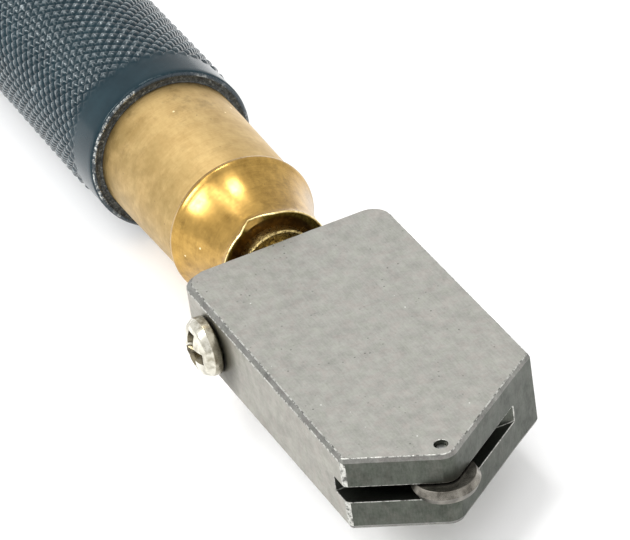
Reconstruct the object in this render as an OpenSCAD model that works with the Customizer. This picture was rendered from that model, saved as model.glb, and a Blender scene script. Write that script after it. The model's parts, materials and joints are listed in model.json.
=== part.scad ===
// Oil-fed glass cutter with a wide steel head.
// The handle's axis is the Y axis, the wheel is at the +Y end and the head lies flat, square to Z.
// The origin is on the handle's axis, half way along the grip sleeve.

/* [Grip] */
// Length of the knurled sleeve
grip_length = 108; // [90:1:130]
// Diameter over the knurl
grip_diameter = 14; // [13.6:0.1:16]
// Length of the plain band at the sleeve's front end
grip_band = 2.7; // [2:0.1:8]

/* [Ferrules] */
// Diameter of the front ferrule at the grip
ferrule_diameter = 11.7; // [11.2:0.1:11.8]
// Diameter of the front ferrule at the bead
ferrule_nose_diameter = 11.3; // [10.8:0.1:11.6]
// Length of the front ferrule in front of the grip
ferrule_length = 12.6; // [9:0.1:18]
// Width of the brass ring behind the grip
rear_ring = 3; // [2:0.1:6]

/* [Coupling] */
// Diameter of the bead at its fullest
bead_diameter = 11.9; // [11.4:0.1:12.6]
// Length of the bead from the gasket to the front rim
bead_length = 6.5; // [6:0.1:8]
// Diameter of the bead's front rim
rim_diameter = 8.8; // [8.2:0.1:10]
// Depth of the two notches in the rim
notch_depth = 0.65; // [0.3:0.05:1]
// Gap between the rim and the head
rim_gap = 1.5; // [1.3:0.1:3]
// Diameter of the stub that the head turns on
stub_diameter = 4.8; // [4.6:0.05:4.9]
// Length of the stub inside the head
stub_length = 7.4; // [7.2:0.1:8]

/* [Head] */
// Width of the head
head_width = 16.8; // [15:0.1:19]
// Thickness of the head
head_thickness = 6.06; // [6:0.02:7]
// Length from the rear face to the tip
tip_length = 31.5; // [31.2:0.1:33]
// Distance of the tip from the handle's axis, towards the lock screw
tip_offset = 1.75; // [1:0.05:2.4]
// Length of the side with the lock screw
left_side = 27.5; // [26:0.1:28.4]
// Length of the other side
right_side = 23.9; // [22:0.1:24.4]
// Radius of the two rear corners
corner_radius = 1.8; // [1:0.1:3]
// Width of the bevel along the head's outer edges
edge_bevel = 0.3; // [0.1:0.05:0.45]
// Distance from the rear face to the end of the wheel slot
slot_end = 25.8; // [24.8:0.1:26.4]
// Width of the wheel slot
slot_width = 1.3; // [1.2:0.02:1.5]

/* [Wheel] */
// Diameter of the cutting wheel
wheel_diameter = 5; // [4.6:0.1:5.4]
// Thickness of the cutting wheel
wheel_thickness = 1.05; // [0.9:0.01:1.1]
// Angle of the wheel's edge
wheel_edge_angle = 130; // [110:1:150]
// Distance of the axle behind the tip
axle_setback = 1.6; // [1.4:0.05:2]
// Diameter of the axle
axle_diameter = 1; // [0.8:0.02:1.1]

/* [Lock screw] */
// Distance of the lock screw from the head's rear face
screw_setback = 5.1; // [4.9:0.05:5.4]
// Diameter of the screw's head
screw_head_diameter = 4.6; // [4.2:0.1:5.2]
// Height of the screw's head
screw_head_height = 1.65; // [1.4:0.05:2]
// Diameter of the screw's thread
screw_diameter = 2.5; // [2.3:0.1:2.6]

/* [Filler cap] */
// Length of the cap behind its seal
cap_length = 10.9; // [8:0.1:14]
// Diameter of the cap
cap_diameter = 11.4; // [10.4:0.1:11.8]
// Number of grooves round the cap
cap_grooves = 36; // [24:2:48]
// Pitch of the cap's thread
cap_pitch = 0.8; // [0.5:0.1:1]

/* [Hidden] */
$fn = 96;

// Clearances
fixed_gap = 0.03;    // between pieces that are fixed to each other
running_gap = 0.04;  // round a piece that turns or slides
eps = 0.01;

// Stations along the handle, from the back to the front
grip_back = -grip_length / 2;
grip_front = grip_length / 2;
ferrule_nose = grip_front + ferrule_length;
gasket_thickness = 0.25;
bead_back = ferrule_nose + gasket_thickness;
rim_front = bead_back + bead_length;
head_back = rim_front + rim_gap;
ring_back = grip_back - rear_ring;

// Grip and oil tube
grip_bore_r = ferrule_diameter / 2 + fixed_gap;
band_r = grip_diameter / 2 - 0.2;
tube_r = ferrule_diameter / 2 - 0.05;
tube_bore_r = 5;
tube_end = 12;                      // from the end of the grip to the end of the tube
spigot_r = tube_bore_r - fixed_gap;
spigot_length = 8;
tube_seal_r = 0.75;                 // radius of the cord of the tube's O-rings
tube_seal_pitch_r = spigot_r - tube_seal_r;

// Coupling
bead_r = bead_diameter / 2;
rim_r = rim_diameter / 2;
stem_r = 3.6;                       // rear stem that screws into the ferrule
stem_length = 10.5;
oil_bore_r = 2.4;                   // way from the reservoir to the stem
stem_back = bead_back - stem_length;
stub_r = stub_diameter / 2;
stub_front = head_back + stub_length;
notch_angle = 70;                   // direction of the first notch, from +X towards +Z
notch_steep = 1.1;                  // width of the notch's steeper side
notch_shallow = 1.9;                // width of its other side
collar_outer_r = 3.1;               // ring between the rim and the head
pin_r = 0.6;
pin_hole_r = 0.9;
chamber_r = 2.2;                    // valve chamber in the stem
chamber_front = bead_back + 1;
collar_r = 1.9;
collar_length = 1.2;
seal_length = 0.5;
seal_r = 2;
spring_front = chamber_front - seal_length - collar_length - 0.02;
plug_length = 1.4;
plug_bore_r = 0.95;
plug_front = stem_back + plug_length;
spring_wire_r = 0.2;
spring_pitch_r = 1.3;
spring_turns = 5;
wire_sides = 8;
press_travel = 0.5;                 // how far the head moves back under pressure
groove_floor_r = 1.7;
groove_width = 3.2;
groove_angle = 84;                  // lets the head swing 15 degrees to each side
stub_seal_r = 0.5;                  // radius of the cord of the stub's O-ring
stub_seal_y = head_back + 1.5;

// Head
bore_r = stub_r + running_gap;
bore_depth = stub_length + 1.1;
stub_seal_pitch_r = bore_r - 0.02 - stub_seal_r;
half_width = head_width / 2;
half_thickness = head_thickness / 2;
tip_y = head_back + tip_length;
axle_y = tip_y - axle_setback;
axle_x = tip_offset;
axle_hole_r = axle_diameter / 2 + 0.01;
axle_length = head_thickness - 0.7;
screw_y = head_back + screw_setback;
tapped_r = screw_diameter / 2 + running_gap;
passage_r = 0.7;
passage_x = 1.45;

// Screw
screw_tip_r = 0.85;
screw_tip_x = groove_floor_r + 0.35;
screw_seat_gap = 0.1;
screw_seat_x = half_width + screw_seat_gap;
recess_width = 0.8;
recess_length = 3.2;
recess_depth = 1.1;

// Filler neck and cap
neck_r = 3.3;
plug_r = neck_r - 0.06;
cap_turns = 5;                      // turns that free the cap
plug_reach = cap_pitch * cap_turns + 1;
cap_front = ring_back - 0.1;
cap_back = cap_front - cap_length;
cap_seal_r = 0.5;
cap_seal_pitch_r = 3.85;
cap_seal_y = ring_back - 0.02 - cap_seal_r;

// Points of an arc in the plane, from one angle to another
function arc(cx, cy, r, from, to, steps = 12) =
    [for (i = [0:steps]) let (a = from + (to - from) * i / steps) [cx + r * cos(a), cy + r * sin(a)]];

// Straight round length along Y
module along_y(from, to, r) {
    translate([0, from, 0]) rotate([-90, 0, 0]) cylinder(h = to - from, r = r);
}

// Turned solid about Y from an outline of [radius, y] points
module turned(outline) {
    rotate([-90, 0, 0]) rotate_extrude() polygon(outline);
}

// Ring of round cord about Y
module cord_ring(y, pitch_r, cord_r) {
    translate([0, y, 0]) rotate([-90, 0, 0])
        rotate_extrude() translate([pitch_r, 0]) circle(r = cord_r, $fn = 32);
}

// Outline of the head in X and Y, drawn inset by a distance
function head_outline(inset) =
    let (
        w = half_width - inset,
        back = head_back + inset,
        r = corner_radius - inset,
        shoulder = inset * 0.6
    )
    concat(
        arc(w - r, back + r, r, 0, -90),
        arc(-w + r, back + r, r, -90, -180),
        [
            [-w, head_back + right_side - shoulder],
            [tip_offset, tip_y - inset * 1.2],
            [w, head_back + left_side - shoulder]
        ]
    );

// Head without its holes, bevelled round both flat faces
module head_blank() {
    hull() {
        translate([0, 0, -half_thickness + edge_bevel])
            linear_extrude(head_thickness - 2 * edge_bevel) polygon(head_outline(0));
        translate([0, 0, -half_thickness])
            linear_extrude(head_thickness) polygon(head_outline(edge_bevel));
    }
}

module cutter_head() {
    color("lightsteelblue")
    difference() {
        head_blank();
        // Bore for the stub, running back out through the rear face
        along_y(head_back - 1, head_back + bore_depth, bore_r);
        // Oil passage from the bore to the slot
        translate([passage_x, 0, 0])
            along_y(head_back + bore_depth - 1, head_back + slot_end + 1, passage_r);
        // Slot for the wheel, open at the chamfers
        translate([-half_width - 1, head_back + slot_end, -slot_width / 2])
            cube([head_width + 2, tip_length, slot_width]);
        // Axle hole through both jaws
        translate([axle_x, axle_y, -head_thickness]) cylinder(h = 2 * head_thickness, r = axle_hole_r);
        // Tapped hole for the lock screw
        translate([0, screw_y, 0]) rotate([0, 90, 0]) cylinder(h = head_width, r = tapped_r);
    }
}

module cutting_wheel() {
    r = wheel_diameter / 2;
    half = wheel_thickness / 2;
    hole = axle_diameter / 2 + running_gap;
    edge = half / tan(wheel_edge_angle / 2);
    color("dimgray")
    translate([axle_x, axle_y, 0]) rotate_extrude()
        polygon([[hole, -half], [r - edge, -half], [r, 0], [r - edge, half], [hole, half]]);
}

module wheel_axle() {
    color("silver")
    translate([axle_x, axle_y, -axle_length / 2]) cylinder(h = axle_length, r = axle_diameter / 2);
}

module lock_screw() {
    r = screw_head_diameter / 2;
    h = screw_head_height;
    dome = 0.65;
    thread_r = screw_diameter / 2;
    color("gainsboro")
    translate([0, screw_y, 0]) rotate([0, 90, 0])
    difference() {
        rotate_extrude() polygon(concat(
            [[0, screw_tip_x], [screw_tip_r, screw_tip_x], [screw_tip_r, screw_tip_x + 0.9],
             [thread_r, screw_tip_x + 1.3], [thread_r, screw_seat_x], [r - 0.15, screw_seat_x],
             [r, screw_seat_x + 0.15], [r, screw_seat_x + h - dome]],
            arc(r - dome, screw_seat_x + h - dome, dome, 15, 90, 5),
            [[0, screw_seat_x + h]]
        ));
        // Cross recess
        for (turn = [0, 90]) rotate([0, 0, turn])
            translate([-recess_length / 2, -recess_width / 2, screw_seat_x + h - recess_depth])
                cube([recess_length, recess_width, recess_depth + 1]);
    }
}

module wick() {
    wick_r = passage_r - fixed_gap;
    color("wheat")
    translate([passage_x, 0, 0])
        along_y(head_back + bore_depth + 0.1, axle_y - wheel_diameter / 2 - 0.5, wick_r);
}

// Belly and tapering neck of the bead, from back to front. Each pair is the share of the bead's
// length and the share of the step in radius from the rim to the fullest place.
function bead_outline() =
    let (shape = [
        [0.05, 0.97], [0.09, 1], [0.13, 0.92], [0.18, 0.81], [0.29, 0.6], [0.42, 0.4],
        [0.56, 0.23], [0.7, 0.11], [0.85, 0.02], [1, 0]
    ])
    concat(
        [[ferrule_nose_diameter / 2, bead_back]],
        [for (p = shape) [rim_r + p[1] * (bead_r - rim_r), bead_back + p[0] * bead_length]]
    );

module swivel_coupling() {
    lip = 0.25;
    recess = 0.5;
    collar_front = head_back - 0.9;
    seal_floor = stub_seal_pitch_r - stub_seal_r - 0.02;
    seal_half = stub_seal_r + 0.15;
    color("goldenrod")
    difference() {
        turned(concat(
            [[0, stem_back], [stem_r - 0.3, stem_back], [stem_r, stem_back + 0.3], [stem_r, bead_back]],
            bead_outline(),
            [[rim_r - lip, rim_front], [rim_r - lip - 0.2, rim_front - recess],
             [collar_outer_r, rim_front - recess], [collar_outer_r, collar_front],
             [stub_r, collar_front], [stub_r, stub_front - 0.3], [stub_r - 0.3, stub_front],
             [0, stub_front]]
        ));
        // Two notches in the rim, outside the collar
        for (turn = [0, 180]) rotate([0, turn - notch_angle, 0])
            translate([collar_outer_r + 0.1, rim_front, 0]) rotate([0, 90, 0])
                linear_extrude(bead_r)
                    polygon([[-notch_shallow, eps], [0, -notch_depth], [notch_steep, eps]]);
        // Oil passage and valve chamber
        along_y(stem_back - 1, stub_front + 1, pin_hole_r);
        along_y(stem_back - 1, chamber_front, chamber_r);
        // Groove for the stub's O-ring
        difference() {
            along_y(stub_seal_y - seal_half, stub_seal_y + seal_half, stub_r + 1);
            along_y(stub_seal_y - seal_half - eps, stub_seal_y + seal_half + eps, seal_floor);
        }
        // Part-round groove for the lock screw's tip; its ends stop the swivel
        translate([0, screw_y - press_travel / 2 - groove_width / 2, 0]) rotate([-90, 0, 0])
            rotate([0, 0, -groove_angle / 2]) rotate_extrude(angle = groove_angle)
                translate([groove_floor_r, 0]) square([stub_r, groove_width]);
    }
}

module stub_o_ring() {
    color("black") cord_ring(stub_seal_y, stub_seal_pitch_r, stub_seal_r);
}

module valve_pin() {
    reach = head_back + bore_depth - 0.02;
    color("silver")
    union() {
        along_y(plug_front - 0.9, reach, pin_r);
        along_y(spring_front, spring_front + collar_length, collar_r);
    }
}

module valve_seal() {
    start = spring_front + collar_length;
    color("black")
    difference() {
        along_y(start + eps, start + seal_length, seal_r);
        along_y(start - 1, start + seal_length + 1, pin_r + eps);
    }
}

// Point on the spring's wire: u along the coil from 0 to 1, side round the wire
function wire_point(u, side, length) =
    let (
        turn = 360 * spring_turns * u,
        around = 360 * side / wire_sides,
        r = spring_pitch_r + spring_wire_r * cos(around)
    )
    [r * cos(turn), spring_wire_r * sin(around) + u * length, r * sin(turn)];

module valve_spring() {
    length = spring_front - plug_front - 0.1 - 2 * spring_wire_r;
    steps = spring_turns * 16;
    last = steps * wire_sides;
    color("lightgray")
    translate([0, plug_front + 0.05 + spring_wire_r, 0])
    polyhedron(
        points = [for (i = [0:steps]) for (j = [0:wire_sides - 1]) wire_point(i / steps, j, length)],
        faces = concat(
            [[for (j = [0:wire_sides - 1]) j]],
            [for (i = [0:steps - 1]) for (j = [0:wire_sides - 1])
                let (a = i * wire_sides, k = (j + 1) % wire_sides)
                [a + j, a + wire_sides + j, a + wire_sides + k, a + k]],
            [[for (j = [wire_sides - 1:-1:0]) last + j]]
        )
    );
}

module valve_plug() {
    color("goldenrod")
    difference() {
        along_y(stem_back + eps, plug_front, chamber_r - fixed_gap);
        along_y(stem_back - 1, plug_front + 1, plug_bore_r);
    }
}

module coupling_gasket() {
    outer_r = ferrule_nose_diameter / 2 - 0.15;
    color("saddlebrown")
    difference() {
        along_y(ferrule_nose + eps, bead_back - eps, outer_r);
        along_y(ferrule_nose - 1, bead_back + 1, stem_r + fixed_gap);
    }
}

module front_ferrule() {
    r = ferrule_diameter / 2;
    nose_r = ferrule_nose_diameter / 2;
    tube_front = grip_front - tube_end;
    seal_y = tube_front - spigot_length / 2;
    color("burlywood")
    difference() {
        turned([
            [0, tube_front - spigot_length], [spigot_r - 0.4, tube_front - spigot_length],
            [spigot_r, tube_front - spigot_length + 0.4], [spigot_r, tube_front + eps],
            [r, tube_front + eps], [r, grip_front + 0.3], [nose_r, ferrule_nose], [0, ferrule_nose]
        ]);
        along_y(stem_back - 0.3, ferrule_nose + 1, stem_r + fixed_gap);
        along_y(tube_front - spigot_length - 1, stem_back, oil_bore_r);
        seal_groove(seal_y);
    }
}

// Groove round a spigot for one of the tube's O-rings
module seal_groove(y) {
    half = tube_seal_r + 0.1;
    floor_r = tube_seal_pitch_r - tube_seal_r - 0.02;
    difference() {
        along_y(y - half, y + half, spigot_r + 1);
        along_y(y - half - eps, y + half + eps, floor_r);
    }
}

module grip_sleeve() {
    r = grip_diameter / 2;
    edge = 0.35;
    color("slategray")
    difference() {
        turned([
            [0, grip_back], [band_r - edge, grip_back], [band_r, grip_back + edge],
            [band_r, grip_back + 1.6], [r, grip_back + 2.2], [r, grip_front - grip_band - 0.5],
            [band_r, grip_front - grip_band], [band_r, grip_front - edge],
            [band_r - edge, grip_front], [0, grip_front]
        ]);
        along_y(grip_back - 1, grip_front + 1, grip_bore_r);
    }
}

module reservoir_tube() {
    reach = grip_length / 2 - tube_end;
    color("khaki")
    difference() {
        along_y(-reach, reach, tube_r);
        along_y(-reach - 1, reach + 1, tube_bore_r);
    }
}

module front_tube_seal() {
    color("black") cord_ring(grip_front - tube_end - spigot_length / 2, tube_seal_pitch_r, tube_seal_r);
}

module rear_tube_seal() {
    color("black") cord_ring(grip_back + tube_end + spigot_length / 2, tube_seal_pitch_r, tube_seal_r);
}

module rear_ferrule() {
    r = ferrule_diameter / 2;
    tube_back = grip_back + tube_end;
    seal_y = tube_back + spigot_length / 2;
    color("goldenrod")
    difference() {
        turned([
            [0, ring_back], [r - 0.3, ring_back], [r, ring_back + 0.3], [r, tube_back - eps],
            [spigot_r, tube_back - eps], [spigot_r, tube_back + spigot_length - 0.4],
            [spigot_r - 0.4, tube_back + spigot_length], [0, tube_back + spigot_length]
        ]);
        along_y(ring_back - 1, tube_back + spigot_length + 1, neck_r);
        seal_groove(seal_y);
    }
}

module filler_cap() {
    r = cap_diameter / 2;
    dome = 1.6;
    grip_edge = 0.5;
    groove_r = 0.32;
    color("goldenrod")
    difference() {
        turned(concat(
            [[0, cap_back]],
            [for (p = arc(0, 0, dome, 90, 10, 8)) [r - dome + p[0], cap_back + dome - p[1]]],
            [[r, cap_front - grip_edge], [r - grip_edge, cap_front],
             [plug_r, cap_front], [plug_r, cap_front + plug_reach - 0.4],
             [plug_r - 0.4, cap_front + plug_reach], [0, cap_front + plug_reach]]
        ));
        // Grooves for the fingers
        for (i = [0:cap_grooves - 1]) rotate([0, i * 360 / cap_grooves, 0])
            translate([r + 0.08, 0, 0]) along_y(cap_back + dome + 0.6, cap_front - 0.9, groove_r);
        // Seat for the O-ring
        difference() {
            along_y(cap_seal_y - cap_seal_r - 0.05, cap_front + 1, cap_seal_pitch_r + cap_seal_r + 0.08);
            along_y(cap_back, cap_front + plug_reach + 1, plug_r);
        }
    }
}

module cap_o_ring() {
    color("black") cord_ring(cap_seal_y, cap_seal_pitch_r, cap_seal_r);
}

cutter_head();
cutting_wheel();
wheel_axle();
lock_screw();
wick();
swivel_coupling();
stub_o_ring();
valve_pin();
valve_seal();
valve_spring();
valve_plug();
coupling_gasket();
front_ferrule();
grip_sleeve();
reservoir_tube();
front_tube_seal();
rear_tube_seal();
rear_ferrule();
filler_cap();
cap_o_ring();
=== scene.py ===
import json
import math
import random

import bmesh
import bpy
from mathutils import Matrix, Quaternion, Vector


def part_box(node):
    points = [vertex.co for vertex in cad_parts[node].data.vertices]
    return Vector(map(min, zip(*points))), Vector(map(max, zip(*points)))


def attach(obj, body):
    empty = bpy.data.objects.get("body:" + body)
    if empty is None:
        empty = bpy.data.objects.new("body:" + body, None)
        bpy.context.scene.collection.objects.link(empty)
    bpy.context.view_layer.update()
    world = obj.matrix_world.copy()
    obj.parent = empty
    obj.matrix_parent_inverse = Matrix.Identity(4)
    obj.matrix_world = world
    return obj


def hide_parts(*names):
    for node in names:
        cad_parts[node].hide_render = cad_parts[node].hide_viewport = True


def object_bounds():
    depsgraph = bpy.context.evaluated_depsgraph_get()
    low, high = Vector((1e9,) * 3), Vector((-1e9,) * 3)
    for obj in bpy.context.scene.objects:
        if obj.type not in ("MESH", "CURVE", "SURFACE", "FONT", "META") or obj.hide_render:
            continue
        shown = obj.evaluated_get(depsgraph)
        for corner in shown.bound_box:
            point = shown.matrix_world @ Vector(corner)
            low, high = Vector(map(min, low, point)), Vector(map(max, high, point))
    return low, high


# Glass cutter: the looks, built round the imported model. Meshes are drawn in millimetres
# in the frame's axes and brought to metres when they are finished.

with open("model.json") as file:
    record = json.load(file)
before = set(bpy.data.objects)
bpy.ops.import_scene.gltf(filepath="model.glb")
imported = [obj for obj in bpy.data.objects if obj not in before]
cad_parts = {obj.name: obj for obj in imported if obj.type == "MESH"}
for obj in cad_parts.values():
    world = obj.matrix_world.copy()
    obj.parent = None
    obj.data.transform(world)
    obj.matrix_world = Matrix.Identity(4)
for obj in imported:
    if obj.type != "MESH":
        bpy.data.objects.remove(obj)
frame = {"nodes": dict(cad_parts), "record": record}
nodes = frame["nodes"]
cad_low, cad_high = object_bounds()
MM = 0.001
TURN = 2 * math.pi


def box_mm(node):
    low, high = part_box(node)
    return low / MM, high / MM


# ---------------------------------------------------------------- sizes from the frame

grip_low, grip_high = box_mm("grip_sleeve")
ferrule_low, ferrule_high = box_mm("front_ferrule")
coupling_low, coupling_high = box_mm("swivel_coupling")
head_low, head_high = box_mm("cutter_head")
wheel_low, wheel_high = box_mm("cutting_wheel")
axle_low, axle_high = box_mm("wheel_axle")
screw_low, screw_high = box_mm("lock_screw")
ring_low, ring_high = box_mm("rear_ferrule")
cap_low, cap_high = box_mm("filler_cap")
wick_low, wick_high = box_mm("wick")
tube_low, tube_high = box_mm("reservoir_tube")

GRIP_R = grip_high.x
FERRULE_R = ferrule_high.x
BEAD_R = coupling_high.z
AXLE = (axle_low + axle_high) / 2
WHEEL_R = (wheel_high.y - wheel_low.y) / 2
SCREW_Y = (screw_low.y + screw_high.y) / 2
SCREW_R = (screw_high.y - screw_low.y) / 2
HEAD_BACK = head_low.y
HEAD_HALF = head_high.x
GRIP_FRONT = grip_high.y
KNURL_DEPTH = 0.26


# ---------------------------------------------------------------- mesh helpers

EDGE_SEGMENTS = 2
SPAN_STEPS = 4            # points that a smooth curve has for each point given


def new_object(name, mesh):
    obj = bpy.data.objects.new(name, mesh)
    bpy.context.scene.collection.objects.link(obj)
    return obj


def from_bmesh(name, bm):
    bmesh.ops.remove_doubles(bm, verts=bm.verts, dist=1e-5)
    bmesh.ops.dissolve_degenerate(bm, edges=bm.edges, dist=1e-5)
    bmesh.ops.recalc_face_normals(bm, faces=bm.faces)
    mesh = bpy.data.meshes.new(name)
    bm.to_mesh(mesh)
    bm.free()
    return new_object(name, mesh)


def apply_modifiers(obj):
    depsgraph = bpy.context.evaluated_depsgraph_get()
    mesh = bpy.data.meshes.new_from_object(obj.evaluated_get(depsgraph), depsgraph=depsgraph)
    obj.modifiers.clear()
    obj.data = mesh


def cut(obj, tools):
    """Takes the closed tools out of obj, then removes the tools."""
    for tool in tools:
        step = obj.modifiers.new("cut", "BOOLEAN")
        step.operation = "DIFFERENCE"
        step.solver = "EXACT"
        step.object = tool
    apply_modifiers(obj)
    for tool in tools:
        bpy.data.objects.remove(tool)


def soften(obj, width, angle=32, materials=(), worn=-1, clamp=True):
    """A fine round on every sharp edge; worn is the place of its material among the given ones."""
    for material in materials:
        obj.data.materials.append(material)
    step = obj.modifiers.new("soften", "BEVEL")
    step.width = width
    step.segments = EDGE_SEGMENTS
    step.limit_method = "ANGLE"
    step.angle_limit = math.radians(angle)
    step.use_clamp_overlap = clamp
    step.miter_outer = "MITER_ARC"
    step.material = worn
    apply_modifiers(obj)


def weigh_normals(obj):
    """Keeps the large flat faces flat beside the rounded edges."""
    step = obj.modifiers.new("normals", "WEIGHTED_NORMAL")
    step.mode = "FACE_AREA"
    step.weight = 100
    step.keep_sharp = True
    apply_modifiers(obj)


def finish_piece(obj, body, node, materials, sharp=28, choose=None, worn=-1, flat=False):
    """Brings a piece to metres, shades it, and ties it to the frame. choose gives a face's
    place among the materials from its centre in millimetres and its normal; worn faces stay.
    A piece with worn edges, or a flat one, keeps its large faces flat in the shading."""
    places = [face.material_index for face in obj.data.polygons]
    obj.data.materials.clear()
    for material in materials:
        obj.data.materials.append(material)
    for face, place in zip(obj.data.polygons, places):
        chosen = choose(face.center, face.normal) if choose else None
        face.material_index = place if chosen is None or place == worn else chosen
    obj.data.transform(Matrix.Scale(MM, 4))
    obj.data.shade_smooth()
    obj.data.set_sharp_from_angle(angle=math.radians(sharp))
    if worn >= 0 or flat:
        weigh_normals(obj)
    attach(obj, body)
    if node:
        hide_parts(node)
    return obj


def fillet(points, steps=5):
    """Outline with each corner (x, y, radius) turned into an arc of that radius."""
    outline = []
    count = len(points)
    for i, (x, y, radius) in enumerate(points):
        here = Vector((x, y))
        back = Vector(points[i - 1][:2]) - here
        ahead = Vector(points[(i + 1) % count][:2]) - here
        if radius <= 0 or back.length < 1e-6 or ahead.length < 1e-6:
            outline.append((x, y))
            continue
        half = back.angle(ahead) / 2
        reach = min(radius / math.tan(half), back.length * 0.49, ahead.length * 0.49)
        radius = reach * math.tan(half)
        centre = here + (back.normalized() + ahead.normalized()).normalized() * radius / math.sin(half)
        start = here + back.normalized() * reach - centre
        end = here + ahead.normalized() * reach - centre
        sweep = start.angle_signed(end)
        for k in range(steps + 1):
            turned = start.copy()
            turned.rotate(Matrix.Rotation(-sweep * k / steps, 2))
            outline.append(tuple(centre + turned))
    return outline


def lathe(name, outline, segments=144, axis="Y", centre=(0, 0, 0)):
    """Turned solid from a closed outline of (radius, place along the axis)."""
    bm = bmesh.new()
    middle = Vector(centre)

    def place(radius, along, angle):
        side, up = radius * math.cos(angle), radius * math.sin(angle)
        local = {"X": (along, side, up), "Y": (up, along, side), "Z": (side, up, along)}[axis]
        return bm.verts.new(middle + Vector(local))

    rings = []
    for radius, along in outline:
        if radius < 1e-6:
            rings.append([place(0, along, 0)])
        else:
            rings.append([place(radius, along, TURN * k / segments) for k in range(segments)])
    for i in range(len(rings)):
        near, far = rings[i], rings[(i + 1) % len(rings)]
        if len(near) == 1 and len(far) == 1:
            continue
        for k in range(segments):
            n = (k + 1) % segments
            corners = [near[k % len(near)], far[k % len(far)], far[n % len(far)], near[n % len(near)]]
            corners = list(dict.fromkeys(corners))
            if len(corners) > 2:
                bm.faces.new(corners)
    return from_bmesh(name, bm)


def block(name, low, high):
    bm = bmesh.new()
    size = Vector(high) - Vector(low)
    bmesh.ops.create_cube(bm, size=1)
    bmesh.ops.scale(bm, vec=size, verts=bm.verts)
    bmesh.ops.translate(bm, vec=(Vector(low) + Vector(high)) / 2, verts=bm.verts)
    return from_bmesh(name, bm)


def rod(name, start, end, radius, segments=64, end_radius=None):
    """Closed cylinder or cone between two points, used as a cutting tool."""
    start, end = Vector(start), Vector(end)
    bm = bmesh.new()
    last = radius if end_radius is None else end_radius
    bmesh.ops.create_cone(
        bm, cap_ends=True, segments=segments, radius1=radius, radius2=last, depth=(end - start).length
    )
    turn = (end - start).to_track_quat("Z", "Y").to_matrix().to_4x4()
    bmesh.ops.transform(bm, matrix=Matrix.Translation((start + end) / 2) @ turn, verts=bm.verts)
    return from_bmesh(name, bm)


def smooth_through(points):
    """Catmull-Rom curve through the points, ends included."""
    padded = [points[0]] + list(points) + [points[-1]]
    curve = []
    for p0, p1, p2, p3 in zip(padded, padded[1:], padded[2:], padded[3:]):
        for k in range(SPAN_STEPS):
            t = k / SPAN_STEPS
            curve.append(tuple(
                0.5 * (2 * b + (c - a) * t + (2 * a - 5 * b + 4 * c - d) * t * t
                       + (3 * b - a - 3 * c + d) * t ** 3)
                for a, b, c, d in zip(p0, p1, p2, p3)
            ))
    curve.append(tuple(points[-1]))
    return curve


def smoothstep(value):
    value = min(1.0, max(0.0, value))
    return value * value * (3 - 2 * value)


# ---------------------------------------------------------------- material helpers

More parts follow.
